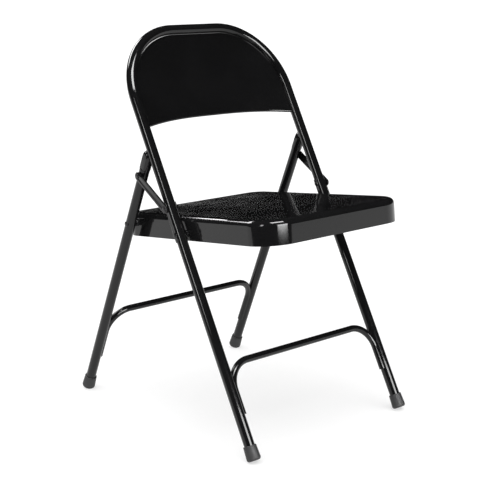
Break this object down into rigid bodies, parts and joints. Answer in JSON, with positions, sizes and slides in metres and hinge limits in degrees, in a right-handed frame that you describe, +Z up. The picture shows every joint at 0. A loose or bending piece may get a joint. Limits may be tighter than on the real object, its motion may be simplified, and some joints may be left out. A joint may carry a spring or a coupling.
{
  "type": "folding chair",
  "caption": "All-steel folding chair: bent-tube frame with a curved sheet back, a pressed seat pan, tube rear legs, arched braces, hinge struts and foot caps.",
  "frame": {"origin": "floor level, under the middle of the chair's footprint", "axes": "+Z up, the sitter faces -Y, +X to the right of someone who looks at the chair from the front"},
  "size_m": [0.4322, 0.5443, 0.7489],
  "materials": {
    "enamel": "gloss black baked enamel on steel",
    "rivet_steel": "black-coated steel rivets",
    "foot_rubber": "matt black moulded rubber"
  },
  "bodies": {
    "frame": {"main_frame": "enamel", "back_panel": "enamel", "front_brace": "enamel", "hinge_bracket_left": "enamel", "hinge_bracket_right": "enamel", "front_foot_cap_left": "foot_rubber", "front_foot_cap_right": "foot_rubber", "strut_rivet_left": "rivet_steel", "strut_rivet_right": "rivet_steel", "seat_rivet_left": "rivet_steel", "seat_rivet_right": "rivet_steel", "seat_spacer_left": "rivet_steel", "seat_spacer_right": "rivet_steel"},
    "seat": {"seat_pan": "enamel"},
    "rear_legs": {"rear_leg_left": "enamel", "rear_leg_right": "enamel", "rear_brace": "enamel", "leg_stop_left": "enamel", "leg_stop_right": "enamel", "leg_rivet_left": "rivet_steel", "leg_rivet_right": "rivet_steel", "leg_spacer_left": "rivet_steel", "leg_spacer_right": "rivet_steel", "rear_foot_cap_left": "foot_rubber", "rear_foot_cap_right": "foot_rubber"},
    "strut_left": {"strut_left": "enamel", "strut_pin_left": "rivet_steel"},
    "strut_right": {"strut_right": "enamel", "strut_pin_right": "rivet_steel"}
  },
  "joints": [
    {"name": "seat_fold", "type": "hinge", "parent": "frame", "child": "seat", "pos_m": [0, -0.04658, 0.38068], "axis": [-1, 0, 0], "range_deg": [0, 108.46]},
    {"name": "rear_leg_fold", "type": "hinge", "parent": "seat", "child": "rear_legs", "pos_m": [0, 0.10208, 0.37823], "axis": [1, 0, 0], "range_deg": [0, 56.74]},
    {"name": "strut_left_fold", "type": "hinge", "parent": "frame", "child": "strut_left", "pos_m": [-0.2092, -0.02113, 0.42717], "axis": [-1, 0, 0], "range_deg": [0, 135.76]},
    {"name": "strut_right_fold", "type": "hinge", "parent": "frame", "child": "strut_right", "pos_m": [0.2092, -0.02113, 0.42717], "axis": [-1, 0, 0], "range_deg": [0, 135.76]}
  ],
  "couplings": [
    {"joint": "rear_leg_fold", "follows": "seat_fold", "ratio": 0.52303},
    {"joint": "strut_left_fold", "follows": "seat_fold", "ratio": 1.2515},
    {"joint": "strut_right_fold", "follows": "seat_fold", "ratio": 1.2515}
  ]
}
